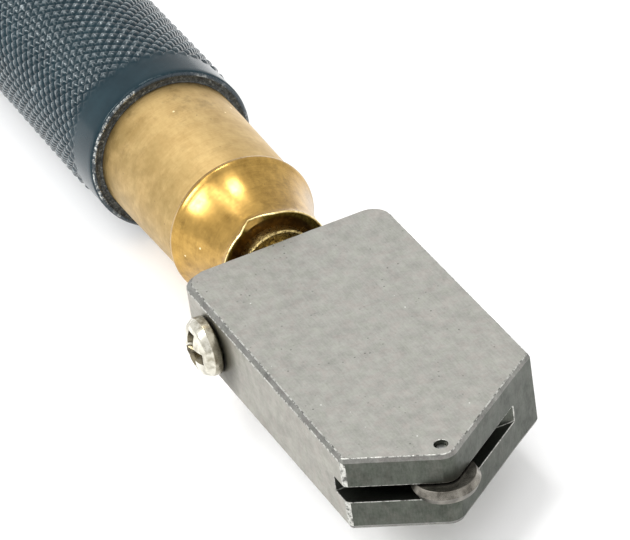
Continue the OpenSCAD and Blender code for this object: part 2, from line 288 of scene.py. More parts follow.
class Shade:
    """A node material, with short calls for the nodes that its surfaces share."""

    def __init__(self, name, color, roughness, metallic=0.0):
        self.material = bpy.data.materials.new(name)
        self.material.use_nodes = True
        self.tree = self.material.node_tree
        self.surface = self.tree.nodes["Principled BSDF"]
        self.surface.inputs["Base Color"].default_value = (*color, 1)
        self.surface.inputs["Roughness"].default_value = roughness
        self.surface.inputs["Metallic"].default_value = metallic
        self.place = self.tree.nodes.new("ShaderNodeTexCoord").outputs["Object"]

    def set(self, **values):
        for name, value in values.items():
            self.surface.inputs[name.replace("_", " ")].default_value = value
        return self

    def link(self, source, target):
        self.tree.links.new(source, target)
        return source

    def stretched(self, scale):
        node = self.tree.nodes.new("ShaderNodeMapping")
        node.inputs["Scale"].default_value = scale
        self.link(self.place, node.inputs["Vector"])
        return node.outputs["Vector"]

    def noise(self, size, detail=4.0, roughness=0.55, stretch=None, distortion=0.0):
        """Noise whose features are about size millimetres across."""
        node = self.tree.nodes.new("ShaderNodeTexNoise")
        node.inputs["Scale"].default_value = 1 / (size * MM)
        node.inputs["Detail"].default_value = detail
        node.inputs["Roughness"].default_value = roughness
        node.inputs["Distortion"].default_value = distortion
        self.link(self.stretched(stretch) if stretch else self.place, node.inputs["Vector"])
        return node.outputs["Fac"]

    def spots(self, size, stretch=None):
        node = self.tree.nodes.new("ShaderNodeTexVoronoi")
        node.inputs["Scale"].default_value = 1 / (size * MM)
        self.link(self.stretched(stretch) if stretch else self.place, node.inputs["Vector"])
        return node.outputs["Distance"]

    def ramp(self, value, *stops):
        """Colour or grey ramp; each stop is (place, grey) or (place, (r, g, b))."""
        node = self.tree.nodes.new("ShaderNodeValToRGB")
        ramp = node.color_ramp
        while len(ramp.elements) < len(stops):
            ramp.elements.new(0.5)
        for element, (place, color) in zip(ramp.elements, stops):
            element.position = place
            rgb = color if isinstance(color, tuple) else (color, color, color)
            element.color = (*rgb, 1)
        self.link(value, node.inputs["Fac"])
        return node.outputs["Color"]

    def math(self, operation, a, b):
        node = self.tree.nodes.new("ShaderNodeMath")
        node.operation = operation
        for socket, value in zip(node.inputs, (a, b)):
            if isinstance(value, (int, float)):
                socket.default_value = value
            else:
                self.link(value, socket)
        return node.outputs["Value"]

    def blend(self, a, b, amount, mode="MIX"):
        node = self.tree.nodes.new("ShaderNodeMix")
        node.data_type = "RGBA"
        node.blend_type = mode
        for name, value in (("Factor", amount), ("A", a), ("B", b)):
            socket = [s for s in node.inputs if s.name == name and s.enabled][0]
            if isinstance(value, tuple):
                socket.default_value = (*value, 1)
            elif isinstance(value, (int, float)):
                socket.default_value = value
            else:
                self.link(value, socket)
        return [s for s in node.outputs if s.enabled][0]

    def axis_value(self, axis):
        """Object coordinate along X, Y or Z, in millimetres."""
        node = self.tree.nodes.new("ShaderNodeSeparateXYZ")
        self.link(self.place, node.inputs["Vector"])
        return self.math("DIVIDE", node.outputs[axis], MM)

    def radius(self):
        """Distance from the handle's axis, in millimetres."""
        x, z = self.axis_value("X"), self.axis_value("Z")
        squares = self.math("ADD", self.math("MULTIPLY", x, x), self.math("MULTIPLY", z, z))
        return self.math("SQRT", squares, 0)

    def edge_wear(self, low=0.52, high=0.6):
        node = self.tree.nodes.new("ShaderNodeNewGeometry")
        return self.ramp(node.outputs["Pointiness"], (low, 0.0), (high, 1.0))

    def bump(self, height, depth, strength=1.0):
        """Bump from a height of 0 to 1, depth millimetres deep, over any bump before it."""
        node = self.tree.nodes.new("ShaderNodeBump")
        node.inputs["Strength"].default_value = strength
        node.inputs["Distance"].default_value = depth * MM
        self.link(height, node.inputs["Height"])
        normal = self.surface.inputs["Normal"]
        if normal.is_linked:
            self.link(normal.links[0].from_socket, node.inputs["Normal"])
        self.link(node.outputs["Normal"], normal)

    def color(self, source):
        self.link(source, self.surface.inputs["Base Color"])

    def rough(self, source):
        self.link(source, self.surface.inputs["Roughness"])


# ---------------------------------------------------------------- materials


def head_steel(name, light, dark, rough_low, rough_high, grain, pits=0.0, stain_and_shadow=0.0):
    """Ground steel with cloudy patches, fine grain along one axis and small pits."""
    shade = Shade(name, light, rough_low, 1.0)
    cloud = shade.noise(1.1, detail=6, roughness=0.6)
    fine = shade.noise(0.12, detail=3, roughness=0.6, stretch=grain)
    speck = shade.noise(0.2, detail=5, roughness=0.7)
    tone = shade.math("ADD", shade.math("MULTIPLY", cloud, 0.5), shade.math("MULTIPLY", fine, 0.25))
    tone = shade.math("ADD", tone, shade.math("MULTIPLY", speck, 0.25))
    base = shade.ramp(tone, (0.36, dark), (0.64, light))
    tint = shade.ramp(shade.noise(0.9, detail=4, roughness=0.6, distortion=0.4),
                      (0.38, (0.985, 1.0, 0.975)), (0.5, (1.0, 1.0, 1.0)), (0.62, (1.02, 0.985, 0.985)))
    base = shade.blend(base, tint, 1.0, "MULTIPLY")
    if pits:
        pit = shade.ramp(shade.spots(0.55), (0.08, 1.0), (0.16, 0.0))
        patch = shade.ramp(shade.noise(3.2, detail=3), (0.5, 0.05), (0.64, pits))
        base = shade.blend(base, tuple(c * 0.45 for c in dark), shade.math("MULTIPLY", pit, patch))
        glint = shade.ramp(shade.spots(1.3, stretch=(1.0, 0.8, 1.0)), (0.03, 1.0), (0.05, 0.0))
        base = shade.blend(base, (0.86, 0.86, 0.84), shade.math("MULTIPLY", glint, 0.7))
    # Painted shadow: a dark patch on the +X side beside the screw, centred 1.5 mm towards the tip. It is
    # partly an oil stain, but mostly the screw's cast shadow.
    if stain_and_shadow:
        along = shade.math("SUBTRACT", shade.axis_value("Y"), SCREW_Y + 1.5)
        up = shade.axis_value("Z")
        away = shade.math("ADD", shade.math("MULTIPLY", along, along), shade.math("MULTIPLY", up, up))
        screw_shadow_smear = shade.ramp(shade.math("DIVIDE", away, 16.0), (0.2, stain_and_shadow), (0.75, 0.0))
        screw_shadow_smear = shade.math("MULTIPLY", screw_shadow_smear, shade.math("GREATER_THAN", shade.axis_value("X"), 0.0))
        base = shade.blend(base, (0.05, 0.048, 0.035), screw_shadow_smear)
    shade.color(base)
    shade.rough(shade.ramp(tone, (0.3, rough_high), (0.7, rough_low)))
    shade.bump(fine, 0.003, 0.6)
    shade.bump(speck, 0.004, 0.5)
    return shade.material


def worn_steel(name, light, dark):
    """Rubbed edge: bright, broken by dark gaps."""
    shade = Shade(name, light, 0.35, 1.0)
    gap = shade.noise(0.35, detail=5, roughness=0.75)
    shade.color(shade.ramp(gap, (0.4, dark), (0.56, light)))
    shade.rough(shade.ramp(gap, (0.35, 0.5), (0.65, 0.3)))
    shade.bump(gap, 0.02, 0.8)
    return shade.material


def brass(name, light, dark, rough_low, rough_high, lines, tarnish, tarnish_from=None, side_shade=0.0):
    """Turned brass: rings of fine tool marks, cloudy tarnish and a few bright nicks."""
    shade = Shade(name, light, rough_low, 1.0)
    rings = shade.noise(0.09, detail=3, roughness=0.65, stretch=(0.04, 1.0, 0.04))
    cloud = shade.noise(2.2, detail=7, roughness=0.66)
    flow = shade.noise(0.5, detail=5, roughness=0.7, stretch=(1.0, 0.35, 1.0))
    tone = shade.math("ADD", shade.math("MULTIPLY", cloud, 0.5), shade.math("MULTIPLY", flow, 0.3))
    tone = shade.math("ADD", tone, shade.math("MULTIPLY", rings, 0.2))
    base = shade.ramp(tone, (0.36, dark), (0.62, light))
    stain_and_shadow = shade.ramp(shade.noise(1.3, detail=6, roughness=0.7), (0.52, 0.0), (0.72, tarnish))
    if tarnish_from is not None:
        near, far = tarnish_from
        reach = shade.math("DIVIDE", shade.math("SUBTRACT", shade.axis_value("Y"), near), far - near)
        stain_and_shadow = shade.math("MULTIPLY", stain_and_shadow, shade.ramp(reach, (0.0, 1.0), (1.0, 0.25)))
    base = shade.blend(base, tuple(c * 0.45 for c in dark), stain_and_shadow)
    # Painted shade: a patchy dark brown darkening over the +X side of the part.
    if side_shade:
        across = shade.math("DIVIDE", shade.axis_value("X"), FERRULE_R)
        side = shade.ramp(across, (0.3, 0.15), (0.85, 1.0))
        uneven = shade.ramp(shade.noise(1.6, detail=5, roughness=0.65), (0.36, 0.35), (0.62, 1.0))
        side_shade_amount = shade.math("MULTIPLY", shade.math("MULTIPLY", side, uneven), side_shade)
        base = shade.blend(base, (0.26, 0.175, 0.055), side_shade_amount)
    speckle = shade.ramp(shade.spots(0.7), (0.06, 0.75), (0.12, 0.0))
    where = shade.ramp(shade.noise(2.4, detail=3), (0.52, 0.0), (0.64, 1.0))
    base = shade.blend(base, tuple(c * 0.35 for c in dark), shade.math("MULTIPLY", speckle, where))
    nick = shade.ramp(shade.spots(2.1), (0.03, 1.0), (0.05, 0.0))
    base = shade.blend(base, (1.0, 0.86, 0.55), shade.math("MULTIPLY", nick, 0.8))
    shade.color(base)
    shade.rough(shade.ramp(tone, (0.3, rough_high), (0.7, rough_low)))
    shade.bump(rings, lines, 0.7)
    shade.bump(cloud, 0.01, 0.35)
    return shade.material


def shaded_recess_brass():
    """Painted shade at the bottom of the rim's recess: dark brown, with a painted olive-gold reflection
    towards the lip.
    """
    shade = Shade("shaded_recess_brass", (0.2, 0.12, 0.04), 0.32, 1.0)
    cloud = shade.noise(0.7, detail=6, roughness=0.7)
    ring = shade.noise(0.1, detail=4, roughness=0.7, stretch=(0.5, 1.0, 0.5))
    brown = shade.ramp(cloud, (0.35, (0.05, 0.026, 0.008)), (0.6, (0.14, 0.075, 0.02)),
                       (0.75, (0.3, 0.2, 0.06)))
    olive = shade.ramp(ring, (0.38, (0.16, 0.11, 0.02)), (0.62, (0.42, 0.33, 0.08)))
    outwards = shade.ramp(shade.math("DIVIDE", shade.radius(), 5.0), (0.74, 0.0), (0.8, 1.0))
    shade.color(shade.blend(brown, olive, outwards))
    shade.rough(shade.ramp(cloud, (0.35, 0.45), (0.7, 0.22)))
    shade.bump(ring, 0.02, 0.8)
    return shade.material


def rough_brass(name, light, dark, size):
    """Rough brass edge: noise between a dark and a light colour. On the lip it is a torn or worn brass
    edge. On the collar the near-black is painted shade in the recess, and the bright specks are painted
    glints.
    """
    shade = Shade(name, light, 0.3, 1.0)
    grit = shade.noise(size, detail=5, roughness=0.75)
    shade.color(shade.ramp(grit, (0.4, dark), (0.58, light)))
    shade.rough(shade.ramp(grit, (0.35, 0.45), (0.65, 0.2)))
    shade.bump(grit, 0.04, 0.9)
    return shade.material


def grip_paint():
    """Dark blue-grey coat, a little uneven, thin on the knurl's crests."""
    shade = Shade("grip_paint", (0.006, 0.016, 0.026), 0.2)
    cloud = shade.noise(3.5, detail=5, roughness=0.6)
    speck = shade.noise(0.16, detail=4, roughness=0.7)
    base = shade.ramp(cloud, (0.35, (0.005, 0.015, 0.021)), (0.68, (0.010, 0.025, 0.033)))
    patchy = shade.ramp(speck, (0.44, 0.0), (0.6, 1.0))
    worn = shade.math("MULTIPLY", shade.edge_wear(0.53, 0.62), patchy)
    base = shade.blend(base, (0.42, 0.48, 0.5), shade.math("MULTIPLY", worn, 0.6))
    shade.color(base)
    shade.rough(shade.ramp(speck, (0.35, 0.1), (0.7, 0.22)))
    shade.bump(speck, 0.005, 0.5)
    groove_r = GRIP_R - KNURL_DEPTH
    height = shade.math("DIVIDE", shade.math("SUBTRACT", shade.radius(), groove_r), KNURL_DEPTH)
    gloss = shade.ramp(height, (0.2, 0.0), (0.6, 0.3), (0.92, 1.0))
    shade.link(gloss, shade.surface.inputs["Coat Weight"])
    shade.set(Specular_IOR_Level=0.12, Coat_Roughness=0.16, Coat_IOR=1.52,
              Specular_Tint=(0.9, 0.98, 0.97, 1.0))
    return shade.material


def chipped_rim():
    """Rim of the sleeve's mouth, where the coat is chipped down to bright metal in places."""
    shade = Shade("chipped_rim", (0.01, 0.02, 0.03), 0.3)
    grit = shade.noise(0.3, detail=6, roughness=0.75)
    patch = shade.ramp(shade.noise(2.6, detail=3), (0.44, 0.0), (0.56, 1.0))
    bare = shade.math("MULTIPLY", shade.ramp(grit, (0.48, 0.0), (0.56, 1.0)), patch)
    shade.color(shade.blend((0.012, 0.024, 0.034), (0.62, 0.64, 0.62), bare))
    shade.link(bare, shade.surface.inputs["Metallic"])
    shade.rough(shade.ramp(grit, (0.4, 0.35), (0.6, 0.22)))
    shade.bump(grit, 0.04, 0.8)
    return shade.material


def raw_edge():
    """Rough, dark cut end of the grip sleeve."""
    shade = Shade("grip_cut_end", (0.03, 0.035, 0.035), 0.5, 0.35)
    grit = shade.noise(0.22, detail=6, roughness=0.75)
    shade.color(shade.ramp(grit, (0.4, (0.012, 0.014, 0.015)), (0.58, (0.06, 0.065, 0.06)),
                           (0.72, (0.32, 0.33, 0.31))))
    shade.rough(shade.ramp(grit, (0.35, 0.65), (0.7, 0.3)))
    shade.bump(grit, 0.06, 0.9)
    return shade.material


def plating(name, light, dark):
    """Bright nickel with a faint yellow cast."""
    shade = Shade(name, light, 0.16, 1.0)
    cloud = shade.noise(0.9, detail=4, roughness=0.6)
    shade.color(shade.ramp(cloud, (0.36, dark), (0.56, light)))
    shade.rough(shade.ramp(cloud, (0.3, 0.26), (0.7, 0.12)))
    shade.bump(shade.noise(0.3, detail=3), 0.006, 0.35)
    return shade.material


def hard_metal():
    shade = Shade("hard_metal", (0.2, 0.185, 0.16), 0.3, 1.0)
    grind = shade.noise(0.05, detail=3, stretch=(1.0, 1.0, 6.0))
    cloud = shade.noise(0.7, detail=5)
    shade.color(shade.ramp(cloud, (0.35, (0.10, 0.092, 0.078)), (0.65, (0.24, 0.225, 0.195))))
    shade.rough(shade.ramp(grind, (0.3, 0.42), (0.7, 0.22)))
    shade.bump(grind, 0.004, 0.6)
    return shade.material


def plain_metal(name, color, roughness, stretch):
    shade = Shade(name, color, roughness, 1.0)
    grain = shade.noise(0.2, detail=4, stretch=stretch)
    dark = tuple(c * 0.72 for c in color)
    shade.color(shade.ramp(grain, (0.35, dark), (0.65, color)))
    shade.rough(shade.ramp(grain, (0.3, roughness * 1.3), (0.7, roughness * 0.8)))
    shade.bump(grain, 0.004, 0.5)
    return shade.material


def rubber():
    shade = Shade("nitrile", (0.02, 0.02, 0.021), 0.55)
    grain = shade.noise(0.15, detail=4)
    shade.color(shade.ramp(grain, (0.35, (0.014, 0.014, 0.015)), (0.7, (0.035, 0.035, 0.036))))
    shade.rough(shade.ramp(grain, (0.3, 0.62), (0.7, 0.46)))
    shade.bump(grain, 0.01, 0.5)
    return shade.material


def fibre():
    shade = Shade("gasket_fibre", (0.3, 0.17, 0.09), 0.8)
    grain = shade.noise(0.18, detail=6, roughness=0.7)
    shade.color(shade.ramp(grain, (0.35, (0.2, 0.1, 0.05)), (0.7, (0.4, 0.24, 0.13))))
    shade.bump(grain, 0.02, 0.6)
    return shade.material


def felt():
    shade = Shade("oiled_felt", (0.7, 0.62, 0.45), 0.85)
    strand = shade.noise(0.1, detail=6, roughness=0.7, stretch=(1.0, 0.15, 1.0), distortion=1.2)
    shade.color(shade.ramp(strand, (0.35, (0.42, 0.34, 0.2)), (0.68, (0.82, 0.74, 0.56))))
    shade.bump(strand, 0.05, 0.9)
    shade.set(Sheen_Weight=0.35, Sheen_Roughness=0.5)
    return shade.material


ALONG = (1.0, 0.12, 1.0)
UPRIGHT = (1.0, 1.0, 0.2)
# The side, bevel and chamfer copies are the same steel made darker than the top face. This is painted
# shade, darkest on the chamfers, where it stands for dim surroundings seen in reflection.
FACE_STEEL = head_steel("head_steel", (0.40, 0.395, 0.362), (0.275, 0.272, 0.25), 0.36, 0.46, ALONG,
                        pits=1.0)
SHADED_SIDE_STEEL = head_steel("shaded_side_steel", (0.31, 0.30, 0.265), (0.21, 0.205, 0.18), 0.36, 0.5, ALONG,
                        stain_and_shadow=0.9)
SHADED_CHAMFER_STEEL = head_steel("shaded_chamfer_steel", (0.098, 0.104, 0.09), (0.05, 0.055, 0.046), 0.34, 0.5,
                           UPRIGHT)
SHADED_BEVEL_STEEL = head_steel("shaded_bevel_steel", (0.27, 0.268, 0.25), (0.12, 0.12, 0.112), 0.34, 0.5, ALONG)
WORN_STEEL = worn_steel("worn_steel", (0.5, 0.5, 0.465), (0.1, 0.1, 0.092))
FERRULE_BRASS = brass("ferrule_brass", (0.60, 0.43, 0.19), (0.42, 0.28, 0.11), 0.4, 0.5, 0.006, 0.85,
                      tarnish_from=(GRIP_FRONT, GRIP_FRONT + 7), side_shade=0.75)
BEAD_BRASS = brass("bead_brass", (0.49, 0.305, 0.085), (0.24, 0.14, 0.034), 0.2, 0.3, 0.003, 0.5)
CAP_BRASS = brass("cap_brass", (0.58, 0.41, 0.17), (0.42, 0.27, 0.1), 0.24, 0.36, 0.004, 0.3)
SHADED_RECESS_BRASS = shaded_recess_brass()
LIP_BRASS = rough_brass("lip_brass", (0.95, 0.82, 0.42), (0.6, 0.42, 0.14), 0.3)
# Painted shade and glints: the collar deep in the recess is near black, with bright specks.
COLLAR_SHADE_AND_GLINTS = rough_brass("collar_painted_shade_and_glints", (0.7, 0.55, 0.24), (0.08, 0.045, 0.012), 0.18)
GRIP_PAINT = grip_paint()
RAW_EDGE = raw_edge()
CHIPPED_RIM = chipped_rim()
PLATING = plating("screw_plating", (0.62, 0.60, 0.52), (0.3, 0.28, 0.22))
# Darker copies of the same plating: painted shade in the cross recess and on the pan head's rim wall.
SHADED_RECESS_PLATING = plating("screw_recess_painted_shade", (0.2, 0.175, 0.12), (0.05, 0.042, 0.026))
SHADED_WALL_PLATING = plating("screw_wall_painted_shade", (0.46, 0.43, 0.34), (0.16, 0.135, 0.09))
HARD_METAL = hard_metal()
AXLE_STEEL = plain_metal("axle_steel", (0.4, 0.4, 0.39), 0.32, (1.0, 1.0, 1.0))
SPRING_STEEL = plain_metal("spring_steel", (0.5, 0.5, 0.48), 0.3, (1.0, 0.2, 1.0))
TUBE_METAL = plain_metal("tube_aluminium", (0.7, 0.71, 0.72), 0.34, (1.0, 0.1, 1.0))
RUBBER = rubber()
FIBRE = fibre()
FELT = felt()

BY_SLOT = {
    "axle_steel": AXLE_STEEL, "spring_steel": SPRING_STEEL, "tube_aluminium": TUBE_METAL,
    "seal_rubber": RUBBER, "gasket_fibre": FIBRE, "polished_brass": BEAD_BRASS,
    "brushed_brass": FERRULE_BRASS, "cap_brass": CAP_BRASS, "head_steel": FACE_STEEL,
    "wheel_carbide": HARD_METAL, "screw_plating": PLATING, "wick_felt": FELT,
    "grip_coating": GRIP_PAINT,
}
for part in frame["record"]["subparts"]:
    slots = nodes[part["node"]].data.materials
    slots.clear()
    slots.append(BY_SLOT[part["material_slot"]])


# ---------------------------------------------------------------- grip sleeve

KNURL_COUNT = 40          # diamonds round the sleeve
KNURL_PITCH = 1.12        # length of a diamond along the sleeve
BAND_FRONT = 2.7          # plain band at the front
BAND_BACK = 2.0
BAND_DROP = 0.2           # the band is this much lower than the crests
END_ROUND = 0.35
FADE = 0.9                # length over which the knurl runs out


class Sleeve:
    """Sleeve with a diamond knurl of rounded pyramids, plain bands and rough cut ends.

    Rows of groove crossings stand half a diamond apart along the sleeve, and every other row
    is turned by half a diamond. A diamond's centre lies between two crossings of its own row."""

    RING = 2 * KNURL_COUNT    # vertices round a plain ring
    SPAN = TURN / KNURL_COUNT
    HALF = KNURL_PITCH / 2

    def __init__(self):
        self.dice = random.Random(11)
        self.bm = bmesh.new()
        self.back, self.front = grip_low.y, grip_high.y
        self.band_r = GRIP_R - BAND_DROP
        self.bore_r = FERRULE_R + 0.03
        self.first = self.back + BAND_BACK
        self.rows = int((self.front - BAND_FRONT - self.first) / self.HALF)
        self.last = self.first + self.rows * KNURL_PITCH / 2

    def strength(self, y, angle):
        """1 inside the knurl, falling to 0 at its uneven ends."""
        wave = 0.45 * math.sin(angle + 2.2) + 0.16 * math.sin(5 * angle + 0.7) - 0.35
        ahead = (self.last - 0.1 + wave - y) / FADE
        behind = (y - self.first - 0.15) / FADE
        return smoothstep(ahead) * smoothstep(behind)

    def vertex(self, radius, angle, y):
        return self.bm.verts.new((radius * math.sin(angle), y, radius * math.cos(angle)))

    def groove_r(self, y, angle):
        return self.band_r + self.strength(y, angle) * (GRIP_R - KNURL_DEPTH - self.band_r)

    def crest_r(self, y, angle, share):
        top = self.band_r + self.strength(y, angle) * (GRIP_R - 0.004 - self.band_r)
        low = self.groove_r(y, angle)
        return low + (top - low) * share

    def crossings(self):
        self.low = []
        for i in range(self.rows + 1):
            shift = 0.5 if i % 2 == 0 else 0.0
            y = self.first + i * self.HALF
            angles = [(j + shift) * self.SPAN for j in range(KNURL_COUNT)]
            self.low.append([self.vertex(self.groove_r(y, a), a, y) for a in angles])

    def diamonds(self):
        for i in range(1, self.rows):
            odd = i % 2
            row = self.low[i]
            y = self.first + i * self.HALF
            for j in range(KNURL_COUNT):
                left, right = row[(j - 1 + odd) % KNURL_COUNT], row[(j + odd) % KNURL_COUNT]
                corners = [left, self.low[i - 1][j], right, self.low[i + 1][j]]
                self.diamond(corners, (j + odd / 2) * self.SPAN, y)

    def diamond(self, corners, angle, y):
        """One pyramid with a rounded top, a little uneven in height and turn."""
        wear = self.dice.uniform(0.9, 1.0)
        turn_by = self.dice.uniform(-0.02, 0.02)
        shoulder, crown = [], []
        for da, dy in ((-1, 0), (0, -1), (1, 0), (0, 1)):
            a1, y1 = angle + da * self.SPAN * 0.31, y + dy * self.HALF * 0.62
            a2, y2 = angle + (da * 0.14 + turn_by) * self.SPAN, y + (dy * 0.3 + turn_by) * self.HALF
            shoulder.append(self.vertex(self.crest_r(y1, a1, 0.5), a1, y1))
            crown.append(self.vertex(self.crest_r(y2, a2, 0.93 * wear), a2, y2))
        peak = self.vertex(self.crest_r(y, angle, wear), angle, y)
        for k in range(4):
            n = (k + 1) % 4
            self.bm.faces.new((corners[k], corners[n], shoulder[n], shoulder[k]))
            self.bm.faces.new((shoulder[k], shoulder[n], crown[n], crown[k]))
            self.bm.faces.new((crown[k], crown[n], peak))

    def ring(self, radius, y, wobble=0.0):
        out = []
        for j in range(self.RING):
            jitter = self.dice.uniform(-wobble, wobble)
            out.append(self.vertex(radius + jitter * 0.4, j * self.SPAN / 2, y + jitter))
        return out

    def join(self, a, b, index):
        for j in range(self.RING):
            n = (j + 1) % self.RING
            self.bm.faces.new((a[j], a[n], b[n], b[j])).material_index = index

    def edge_ring(self, i):
        """The knurl's last row as one ring: crossings, and the half diamonds' centres."""
        out = [None] * self.RING
        shift = 0.5 if i % 2 == 0 else 0.0
        for j in range(KNURL_COUNT):
            out[int((j + shift) * 2) % self.RING] = self.low[i][j]
        y = self.first + i * self.HALF
        for j in range(self.RING):
            if out[j] is None:
                angle = j * self.SPAN / 2
                out[j] = self.vertex(self.groove_r(y, angle), angle, y)
        return out

    def half_row(self, i, edge, inward):
        """Closes the zigzag between the last crossings and the edge ring."""
        shift = 0.5 if (i + inward) % 2 == 0 else 0.0
        for j, tip in enumerate(self.low[i + inward]):
            at = int((j + shift) * 2) % self.RING
            self.bm.faces.new((edge[(at - 1) % self.RING], tip, edge[at]))
            self.bm.faces.new((edge[at], tip, edge[(at + 1) % self.RING]))

    def close(self, edge, start, end, direction):
        """Plain band, rounded end and rough cut face, from the knurl's edge to the bore."""
        rings = [edge]
        length = abs(end - start)
        for k in range(1, 7):
            rings.append(self.ring(self.band_r, start + direction * (length - END_ROUND) * k / 6))
        for k in range(1, 5):
            bend = math.pi / 2 * k / 4
            rings.append(self.ring(self.band_r - END_ROUND * (1 - math.cos(bend)),
                                   end - direction * END_ROUND * (1 - math.sin(bend))))
        painted = len(rings) - 1
        for k in range(1, 6):
            radius = self.band_r - END_ROUND + (self.bore_r - self.band_r + END_ROUND) * k / 5
            sunk, wobble = (0.0, 0.0) if k == 5 else (0.05, 0.035)
            rings.append(self.ring(radius, end - direction * sunk, wobble))
        for k in range(len(rings) - 1):
            self.join(rings[k], rings[k + 1], 0 if k < painted - 2 else 2 if k < painted else 1)
        return rings[-1]

    def bore(self, mouth, tail):
        previous = mouth
        for k in range(1, 9):
            y = self.front + (self.back - self.front) * k / 8
            following = tail if k == 8 else self.ring(self.bore_r, y)
            self.join(previous, following, 1)
            previous = following


def grip_sleeve():
    sleeve = Sleeve()
    sleeve.crossings()
    sleeve.diamonds()
    front_edge, back_edge = sleeve.edge_ring(sleeve.rows), sleeve.edge_ring(0)
    sleeve.half_row(sleeve.rows, front_edge, -1)
    sleeve.half_row(0, back_edge, 1)
    mouth = sleeve.close(front_edge, sleeve.last, sleeve.front, 1)
    tail = sleeve.close(back_edge, sleeve.first, sleeve.back, -1)
    sleeve.bore(mouth, tail)
    obj = from_bmesh("knurled_grip", sleeve.bm)
    materials = [GRIP_PAINT, RAW_EDGE, CHIPPED_RIM]
    return finish_piece(obj, "handle", "grip_sleeve", materials, sharp=80)


# ---------------------------------------------------------------- brass pieces

def front_ferrule():
    low, high = ferrule_low, ferrule_high
    nose_r = BEAD_R - 0.3
    mouth = grip_high.y
    body_back = tube_high.y + 0.01
    spigot_r, bore_r, stem_r = 4.97, 2.4, 3.63
    seat = coupling_low.y - 0.3
    groove, groove_floor = (low.y + body_back) / 2, 3.45
    outline = fillet([
        (bore_r, low.y, 0), (spigot_r, low.y, 0.3), (spigot_r, groove - 0.85, 0.05),
        (groove_floor, groove - 0.85, 0.1), (groove_floor, groove + 0.85, 0.1),
        (spigot_r, groove + 0.85, 0.05), (spigot_r, body_back, 0.1), (FERRULE_R, body_back, 0.2),
        (FERRULE_R, mouth + 0.3, 1.0), (FERRULE_R - 0.03, mouth + 3.0, 4.0),
        (nose_r, high.y - 0.04, 0.05), (nose_r - 0.12, high.y, 0.03),
        (stem_r, high.y, 0), (stem_r, seat, 0), (bore_r, seat, 0)
    ])
    obj = lathe("brushed_ferrule", outline, 160)
    return finish_piece(obj, "handle", "front_ferrule", [FERRULE_BRASS], sharp=35)


RIM_GAP = 1.5
RIM_R = 4.4
LIP = 0.1                 # thickness of the rim's sharp lip
COLLAR_R = 3.1
NOTCH_ANGLE = 70          # from +X towards +Z
NOTCH_DEPTH = 0.65
NOTCH_STEEP, NOTCH_SHALLOW = 14.3, 24.7      # degrees
NOTCH_REACH = 1.3         # length of the neck that follows the notch
# Shares of the bead's length and of the step from the rim's radius to the fullest radius
BEAD_SHAPE = [
    (0.0, 0.83), (0.02, 0.91), (0.05, 0.97), (0.09, 0.998), (0.13, 0.93), (0.18, 0.81), (0.29, 0.6),
    (0.42, 0.4), (0.56, 0.23), (0.7, 0.1), (0.83, 0.01), (0.93, -0.02), (1.0, 0.02)
]


def bead_profile(seam, rim):
    """Belly, tapering neck and flared lip, as (radius, y) from the seam to the rim."""
    return [
        (RIM_R + share * (BEAD_R - RIM_R), seam + place * (rim - seam))
        for place, share in smooth_through(BEAD_SHAPE)
    ]


def notch_drop(x, z):
    """How far the rim falls back at this direction round the axis."""
    drop = 0.0
    for centre in (NOTCH_ANGLE, NOTCH_ANGLE + 180):
        away = (math.degrees(math.atan2(z, x)) - centre + 180) % 360 - 180
        width = NOTCH_SHALLOW if away > 0 else NOTCH_STEEP
        drop = max(drop, NOTCH_DEPTH * (1 - abs(away) / width))
    return drop


